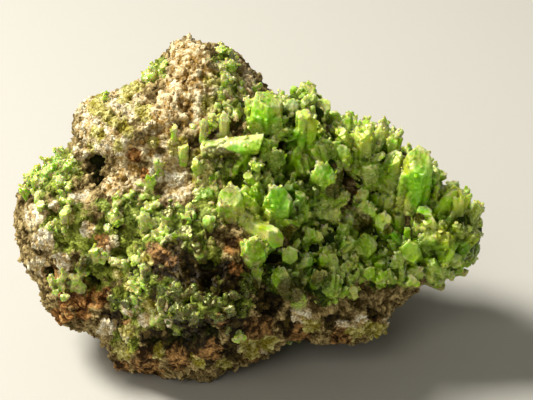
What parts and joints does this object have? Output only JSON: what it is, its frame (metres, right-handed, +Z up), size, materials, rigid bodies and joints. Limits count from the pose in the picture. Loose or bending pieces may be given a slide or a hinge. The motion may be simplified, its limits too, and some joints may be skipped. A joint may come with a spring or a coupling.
{
  "type": "pyromorphite cluster",
  "caption": "Crumbly iron-stained rock with crusts of six-sided green crystals over its bowl-shaped right half and in patches elsewhere, standing free on a flat underside.",
  "frame": {"origin": "middle of the flat resting face under the rock", "axes": "+Z up from the resting face; -Y towards the display side, which is seen looking down by 28 degrees; +X to its right, towards the crystal-covered end"},
  "size_m": [0.062, 0.0477, 0.0412],
  "materials": {
    "rock": "crumbly tan rock, rust-stained and pitted, with cream and yellow-green mineral crusts",
    "crystal": "translucent yellow-green to deep green crystals with a resinous shine and paler ends"
  },
  "bodies": {
    "root": {"matrix": "rock", "main_druse": "crystal", "left_lobe_crust": "crystal", "low_left_crust": "crystal", "peak_left_crust": "crystal", "lower_front_crust": "crystal", "back_high_crust": "crystal", "back_low_crust": "crystal"}
  },
  "joints": []
}
